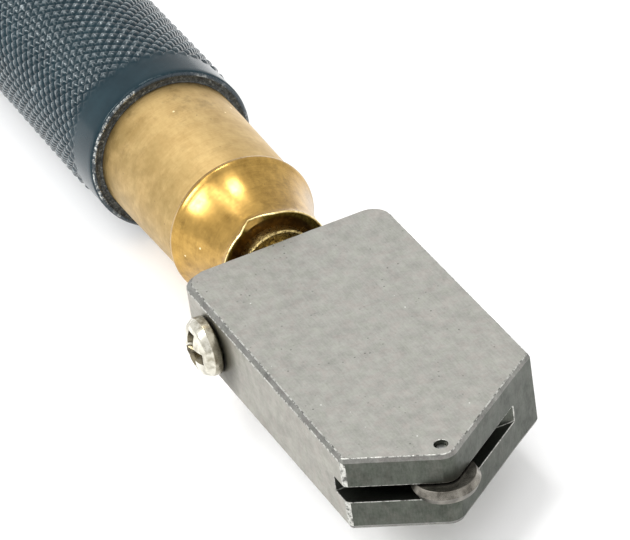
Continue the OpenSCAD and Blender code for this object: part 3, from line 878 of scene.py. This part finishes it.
def swivel_coupling():
    """Bead with a tapering neck, a sharp notched rim round a recess painted dark as shade, a stem and a
    stub.
    """
    back, front = coupling_low.y, coupling_high.y
    seam = ferrule_high.y + 0.05
    rim = HEAD_BACK - RIM_GAP
    stub_r, stem_r, hole_r, chamber_r = 2.4, 3.6, 0.9, 2.2
    outline = [(hole_r, front), (stub_r - 0.3, front), (stub_r, front - 0.3)]
    groove = SCREW_Y - 0.25
    outline += [(stub_r, groove + 1.6), (1.7, groove + 1.6), (1.7, groove - 1.6), (stub_r, groove - 1.6)]
    seal = HEAD_BACK + 1.5
    outline += [(stub_r, seal + 0.65), (stub_r - 0.95, seal + 0.65), (stub_r - 0.95, seal - 0.65),
                (stub_r, seal - 0.65)]
    collar_front = HEAD_BACK - 0.9
    outline += [(stub_r, collar_front), (COLLAR_R - 0.12, collar_front), (COLLAR_R, collar_front - 0.12)]
    floor = rim - 0.5
    outline += [(COLLAR_R, collar_front - 0.35), (COLLAR_R - 0.1, collar_front - 0.45),
                (COLLAR_R - 0.1, floor), (RIM_R - 0.6, floor),
                (RIM_R - LIP - 0.12, floor + 0.1), (RIM_R - LIP - 0.02, rim - 0.12),
                (RIM_R - LIP, rim - 0.03), (RIM_R - LIP * 0.6, rim), (RIM_R, rim - 0.02)]
    outline += list(reversed(bead_profile(seam, rim - LIP)))
    outline += [(stem_r, seam), (stem_r, back + 0.3), (stem_r - 0.3, back),
                (chamber_r, back), (chamber_r, seam + 1), (hole_r, seam + 1)]
    obj = lathe("swivel_bead", outline, 240)
    for vertex in obj.data.vertices:
        place = vertex.co
        if math.hypot(place.x, place.z) > RIM_R - 0.55:
            share = min(1.0, max(0.0, (place.y - rim) / NOTCH_REACH + 1))
            place.y -= share * notch_drop(place.x, place.z)
    materials = [BEAD_BRASS, SHADED_RECESS_BRASS, COLLAR_SHADE_AND_GLINTS, LIP_BRASS]

    def choose(centre, normal):
        radius = math.hypot(centre.x, centre.z)
        inwards = (normal.x * centre.x + normal.z * centre.z) / max(radius, 0.01)
        if radius > RIM_R - LIP - 0.015 and centre.y > rim - notch_drop(centre.x, centre.z) - LIP * 1.1:
            return 3
        if centre.y < rim - NOTCH_DEPTH - 0.1 or radius < stub_r - 0.05:
            return 0
        if radius < COLLAR_R + 0.02:
            return 2
        return 1 if inwards < 0.2 else 0

    return finish_piece(obj, "handle", "swivel_coupling", materials, 30, choose)


def rear_ferrule():
    low, high = ring_low, ring_high
    tube_back = tube_low.y - 0.01
    spigot_r, neck_r, groove_floor = 4.97, 3.3, 3.45
    groove = (tube_back + high.y) / 2
    outline = fillet([
        (neck_r, high.y, 0), (spigot_r, high.y, 0.3), (spigot_r, groove + 0.85, 0.05),
        (groove_floor, groove + 0.85, 0.1), (groove_floor, groove - 0.85, 0.1),
        (spigot_r, groove - 0.85, 0.05), (spigot_r, tube_back, 0.1), (FERRULE_R, tube_back, 0.2),
        (FERRULE_R, grip_low.y - 0.2, 0.1), (FERRULE_R - 0.25, grip_low.y - 0.55, 0.2),
        (FERRULE_R - 0.25, low.y + 1.2, 0.2), (FERRULE_R, low.y + 0.9, 0.1),
        (FERRULE_R, low.y, 0.3), (neck_r, low.y, 0.15)
    ])
    obj = lathe("rear_ring", outline, 160)
    return finish_piece(obj, "handle", "rear_ferrule", [FERRULE_BRASS], sharp=35)


FLUTES = 36
FLUTE_DEPTH = 0.24


def filler_cap():
    """Screw cap: domed end with a turned ring, fluted grip, seal groove and plug."""
    back, front = cap_low.y, cap_high.y
    radius = cap_high.x
    plug_r, reach = 3.24, 5.0
    flange = front - reach
    seal_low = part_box("cap_o_ring")[0].y / MM - 0.05
    seal_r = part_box("cap_o_ring")[1].x / MM + 0.08
    dome = 1.6
    stations = [(back, 0.0), (back, 1.1), (back + 0.12, 1.3), (back + 0.12, 2.5), (back, 2.7)]
    for k in range(10):
        bend = math.pi / 2 * k / 9
        stations.append((back + dome * (1 - math.cos(bend)), radius - dome + dome * math.sin(bend)))
    fluted_from, fluted_to = back + dome + 0.5, flange - 0.9
    stations.append((fluted_from - 0.25, radius))
    for k in range(13):
        stations.append((fluted_from + (fluted_to - fluted_from) * k / 12, radius))
    stations += [(fluted_to + 0.25, radius), (flange - 0.4, radius), (flange - 0.1, radius - 0.12),
                 (flange, radius - 0.4), (flange, seal_r), (seal_low, seal_r - 0.02), (seal_low, plug_r)]
    thread_from = flange + 0.6
    stations.append((thread_from, plug_r))
    for turn in range(5):
        y = thread_from + turn * 0.8
        stations += [(y + 0.2, plug_r - 0.22), (y + 0.4, plug_r - 0.22), (y + 0.6, plug_r)]
    stations += [(front - 0.2, plug_r - 0.3), (front, plug_r - 0.5), (front, 0.0)]
    bm = bmesh.new()
    per_flute = 6
    count = FLUTES * per_flute
    rings = []
    for y, r in stations:
        inside = smoothstep((y - fluted_from) / 0.5) * smoothstep((fluted_to - y) / 0.5)
        inside = inside if abs(r - radius) < 1e-4 else 0.0
        if r < 1e-6:
            rings.append([bm.verts.new((0, y, 0))])
            continue
        ring = []
        for j in range(count):
            angle = TURN * j / count
            wave = (0.5 - 0.5 * math.cos(FLUTES * angle)) ** 0.6
            rr = r - FLUTE_DEPTH * inside * (1 - wave)
            ring.append(bm.verts.new((rr * math.sin(angle), y, rr * math.cos(angle))))
        rings.append(ring)
    for near, far in zip(rings, rings[1:]):
        for j in range(count):
            n = (j + 1) % count
            corners = [near[j % len(near)], far[j % len(far)], far[n % len(far)], near[n % len(near)]]
            corners = list(dict.fromkeys(corners))
            if len(corners) > 2:
                bm.faces.new(corners)
    obj = from_bmesh("fluted_cap", bm)
    return finish_piece(obj, "cap", "filler_cap", [CAP_BRASS], sharp=40)


# ---------------------------------------------------------------- head

SLOT_WIDTH = 1.3
SLOT_END = 25.8           # from the head's rear face
LEFT_SIDE, RIGHT_SIDE = 27.5, 23.9
REAR_CORNER = 1.75
WIDE_BEVEL, FINE_BEVEL = 0.4, 0.16
BEVEL_DROP = 0.34


def head_outline():
    """Corners of the head seen from above, with a round for each."""
    w, back, tip = HEAD_HALF, HEAD_BACK, head_high.y
    crease = (-w + 2.5, back + SLOT_END - 0.1, 0)
    return [
        (w, back, REAR_CORNER), (w, back + LEFT_SIDE, 0.5), (AXLE.x, tip, 1.2), crease,
        (-w, back + RIGHT_SIDE, 0.25), (-w, back, REAR_CORNER)
    ]


def inset(outline, distances):
    """Outline with each edge moved inwards by its own distance."""
    count = len(outline)
    moved = []
    for i in range(count):
        here = Vector(outline[i])
        before = (here - Vector(outline[i - 1])).normalized()
        after = (Vector(outline[(i + 1) % count]) - here).normalized()
        d_before, d_after = distances[i - 1], distances[i]
        n_before, n_after = Vector((-before.y, before.x)), Vector((-after.y, after.x))
        spread = 1 + n_before.dot(n_after)
        moved.append(tuple(here + (n_before * d_before + n_after * d_after) / spread))
    return moved


def cutter_head():
    outline = fillet(head_outline(), 9)
    count = len(outline)
    widths = []
    for i in range(count):
        a, b = Vector(outline[i]), Vector(outline[(i + 1) % count])
        middle = (a + b) / 2
        along_left = middle.x > HEAD_HALF - REAR_CORNER and middle.y < HEAD_BACK + LEFT_SIDE - 0.6
        widths.append(WIDE_BEVEL if along_left else FINE_BEVEL)
    half = head_high.z
    bm = bmesh.new()
    layers = []
    for z, share in ((-half, 1), (BEVEL_DROP - half, 0), (half - BEVEL_DROP, 0), (half, 1)):
        ring = inset(outline, [w * share for w in widths])
        layers.append([bm.verts.new((x, y, z)) for x, y in ring])
    for near, far in zip(layers, layers[1:]):
        for i in range(count):
            n = (i + 1) % count
            bm.faces.new((near[i], near[n], far[n], far[i]))
    bm.faces.new(layers[0])
    bm.faces.new(layers[-1])
    obj = from_bmesh("steel_head", bm)
    back = HEAD_BACK
    slot = block("slot", (-HEAD_HALF - 1, back + SLOT_END, -SLOT_WIDTH / 2),
                 (HEAD_HALF + 1, head_high.y + 2, SLOT_WIDTH / 2))
    stub_bore = rod("stub_bore", (0, back - 1, 0), (0, back + 8.5, 0), 2.44, 80)
    mouth = rod("stub_mouth", (0, back - 0.3, 0), (0, back + 0.35, 0), 3.1, 80, 2.4)
    oil_x = wick_centre_x()
    passage = rod("passage", (oil_x, back + 7, 0), (oil_x, back + SLOT_END + 1, 0), 0.7, 32)
    axle_hole = rod("axle_hole", (AXLE.x, AXLE.y, -half - 1), (AXLE.x, AXLE.y, half + 1), 0.51, 48)
    screw_hole = rod("screw_hole", (0, SCREW_Y, 0), (HEAD_HALF + 1, SCREW_Y, 0), 1.29, 48)
    cut(obj, [slot, stub_bore, mouth, passage, axle_hole, screw_hole])
    # Top face steel, then its side, chamfer and bevel copies painted darker as shade, then the worn
    # edges.
    materials = [FACE_STEEL, SHADED_SIDE_STEEL, SHADED_CHAMFER_STEEL, SHADED_BEVEL_STEEL, WORN_STEEL]
    soften(obj, 0.06, materials=materials, worn=len(materials) - 1, clamp=False)
    shoulder = back + LEFT_SIDE

    def choose(centre, normal):
        if abs(normal.z) > 0.97:
            return 0 if abs(centre.z) > half - 0.1 else 2
        if abs(normal.z) > 0.3:
            return 3 if abs(centre.z) > half - 0.5 else 2
        if centre.y > shoulder - 0.35 and centre.x > HEAD_HALF - 0.45:
            return 4
        return 2 if normal.y > 0.35 and centre.y > back + RIGHT_SIDE else 1

    return finish_piece(obj, "head", "cutter_head", materials, 24, choose, 4)


def wick_centre_x():
    return (wick_low.x + wick_high.x) / 2


def cutting_wheel():
    half = wheel_high.z
    hole = 0.54
    edge = half / math.tan(math.radians(65))
    profile = [
        (hole + 0.06, -half), (WHEEL_R - edge - 0.03, -half), (WHEEL_R - edge, -half + 0.015),
        (WHEEL_R - 0.015, -0.02), (WHEEL_R, 0.0), (WHEEL_R - 0.015, 0.02),
        (WHEEL_R - edge, half - 0.015), (WHEEL_R - edge - 0.03, half), (hole + 0.06, half),
        (hole, half - 0.06), (hole, -half + 0.06)
    ]
    obj = lathe("ground_wheel", profile, 144, axis="Z", centre=(AXLE.x, AXLE.y, 0))
    return finish_piece(obj, "wheel", "cutting_wheel", [HARD_METAL], sharp=20)


def wheel_axle():
    half = axle_high.z
    radius = (axle_high.x - axle_low.x) / 2
    profile = fillet([(0, -half, 0), (radius, -half, 0.12), (radius, half, 0.12), (0, half, 0)])
    obj = lathe("axle_pin", profile, 48, axis="Z", centre=(AXLE.x, AXLE.y, 0))
    return finish_piece(obj, "head", "wheel_axle", [AXLE_STEEL])


RECESS_TURNS = (0, 90)    # degrees about the screw's axis
RECESS_REACH = 1.75       # half the length of an arm of the cross
RECESS_WIDTH, RECESS_DEPTH = 1.0, 1.15
THREAD_R, THREAD_PITCH, THREAD_DEPTH = 1.25, 0.45, 0.22


def lock_screw():
    """Pan head with a tapered cross recess, threaded shank and a plain tip."""
    tip, top = screw_low.x, screw_high.x
    seat = HEAD_HALF + 0.1
    height = top - seat
    outline = [(0, tip, 0), (0.85, tip, 0.15), (0.85, tip + 0.9, 0.05)]
    x = tip + 1.2
    while x < seat - 0.6:
        outline += [(THREAD_R - THREAD_DEPTH, x, 0.03), (THREAD_R, x + THREAD_PITCH / 2, 0.02)]
        x += THREAD_PITCH
    outline += [(1.2, seat - 0.2, 0), (1.2, seat, 0), (SCREW_R - 0.1, seat, 0.05),
                (SCREW_R, seat + 0.12, 0.1), (SCREW_R - 0.02, seat + height * 0.42, 0.12),
                (SCREW_R - 0.35, top - 0.42, 0.5), (SCREW_R - 1.2, top - 0.1, 1.5), (0, top, 0)]
    obj = lathe("cross_screw", fillet(outline, 4), 96, axis="X", centre=(0, SCREW_Y, 0))
    cut(obj, [recess_arm(top, turn) for turn in RECESS_TURNS])
    soften(obj, 0.03, 35, materials=[PLATING, SHADED_RECESS_PLATING])

    def choose(centre, normal):
        radius = math.hypot(centre.y - SCREW_Y, centre.z)
        if centre.x < seat:
            return 0
        if radius > SCREW_R - 0.12 and normal.x < 0.4:
            return 2
        return 1 if radius < RECESS_REACH and (normal.x < 0.6 or centre.x < top - 0.8) else 0

    # Plating, then its copies painted darker as shade for the recess and the rim wall.
    materials = [PLATING, SHADED_RECESS_PLATING, SHADED_WALL_PLATING]
    return finish_piece(obj, "screw", "lock_screw", materials, 35, choose, flat=True)


def recess_arm(top, turn):
    """Tapered bar that cuts one pair of the cross's arms."""
    bm = bmesh.new()
    levels = []
    for x, share in ((top + 0.1, 1.1), (top - RECESS_DEPTH, 0.45)):
        wide, reach = RECESS_WIDTH / 2 * share, RECESS_REACH * share
        levels.append([bm.verts.new((x, a * reach, b * wide))
                       for a, b in ((-1, -1), (1, -1), (1, 1), (-1, 1))])
    for k in range(4):
        n = (k + 1) % 4
        bm.faces.new((levels[0][k], levels[0][n], levels[1][n], levels[1][k]))
    bm.faces.new(levels[0])
    bm.faces.new(levels[1])
    arm = from_bmesh("arm", bm)
    arm.data.transform(Matrix.Translation((0, SCREW_Y, 0)) @ Matrix.Rotation(math.radians(turn), 4, "X"))
    return arm


def wick():
    """Felt cord: a lumpy cylinder, drawn in at both ends."""
    dice = random.Random(5)
    low, high = wick_low, wick_high
    radius = (high.x - low.x) / 2
    centre = (wick_centre_x(), 0, 0)
    steps, sides = 60, 28
    bm = bmesh.new()
    rings = []
    for i in range(steps + 1):
        y = low.y + (high.y - low.y) * i / steps
        ring = []
        for j in range(sides):
            angle = TURN * j / sides
            lump = 0.86 + 0.07 * math.sin(3 * angle + i * 0.5) + dice.uniform(-0.07, 0.07)
            r = radius * lump * (0.75 if i in (0, steps) else 1)
            ring.append(bm.verts.new((centre[0] + r * math.cos(angle), y, r * math.sin(angle))))
        rings.append(ring)
    for near, far in zip(rings, rings[1:]):
        for j in range(sides):
            n = (j + 1) % sides
            bm.faces.new((near[j], near[n], far[n], far[j]))
    bm.faces.new(rings[0])
    bm.faces.new(rings[-1])
    obj = from_bmesh("felt_wick", bm)
    return finish_piece(obj, "head", "wick", [FELT], sharp=60)


grip_sleeve()
front_ferrule()
swivel_coupling()
rear_ferrule()
filler_cap()
cutter_head()
cutting_wheel()
wheel_axle()
lock_screw()
wick()


# ---------------------------------------------------------------- floor, light and camera

def floor():
    size = 3.0
    bm = bmesh.new()
    bmesh.ops.create_grid(bm, x_segments=2, y_segments=2, size=size)
    mesh = bpy.data.meshes.new("floor")
    bm.to_mesh(mesh)
    bm.free()
    obj = new_object("floor", mesh)
    obj.location = (0, 0, cad_low.z - 0.0002)
    shade = Shade("floor_white", (0.95, 0.95, 0.945), 0.8)
    shade.color(shade.ramp(shade.noise(60, detail=2), (0.3, 0.94), (0.7, 0.96)))
    mesh.materials.append(shade.material)


def area_light(name, place, target, width, height, power):
    data = bpy.data.lights.new(name, "AREA")
    data.shape = "RECTANGLE"
    data.size, data.size_y = width, height
    data.energy = power
    obj = bpy.data.objects.new(name, data)
    bpy.context.scene.collection.objects.link(obj)
    obj.location = place
    obj.rotation_mode = "QUATERNION"
    obj.rotation_quaternion = (Vector(target) - Vector(place)).to_track_quat("-Z", "Y")
    obj.visible_camera = False
    return obj


def world_light(level):
    world = bpy.data.worlds.new("studio")
    bpy.context.scene.world = world
    world.use_nodes = True
    background = world.node_tree.nodes["Background"]
    background.inputs["Color"].default_value = (1, 1, 1, 1)
    background.inputs["Strength"].default_value = level


VIEW_AIM = Vector((-2.0, 75.79, 0.0)) * MM
VIEW_DISTANCE = 0.3542
VIEW_ELEVATION = math.radians(33.60)
VIEW_HEADING = math.radians(69.19)      # from +X towards +Y
VIEW_ROLL = math.radians(-8.68)
VIEW_LENS = 271.9


def camera():
    data = bpy.data.cameras.new("camera")
    data.lens = VIEW_LENS
    data.sensor_width = 36
    data.clip_start, data.clip_end = 0.01, 20
    obj = bpy.data.objects.new("camera", data)
    bpy.context.scene.collection.objects.link(obj)
    flat = math.cos(VIEW_ELEVATION)
    back = Vector((flat * math.cos(VIEW_HEADING), flat * math.sin(VIEW_HEADING),
                   math.sin(VIEW_ELEVATION)))
    obj.location = VIEW_AIM + back * VIEW_DISTANCE
    obj.rotation_mode = "QUATERNION"
    level = (-back).to_track_quat("-Z", "Y")
    obj.rotation_quaternion = level @ Quaternion((0, 0, 1), VIEW_ROLL)
    bpy.context.scene.camera = obj


floor()
centre = Vector((0, 70, 0)) * MM
area_light("key", (0.78, 0.0, 0.70), centre, 0.15, 0.42, 6.0)
area_light("top", (-0.04, -0.24, 1.05), centre, 0.28, 0.12, 3.0)
area_light("link", (0.42, -0.15, 0.95), centre, 0.8, 0.25, 2.0)
world_light(1.15)
camera()
bpy.context.scene.view_settings.view_transform = "Standard"
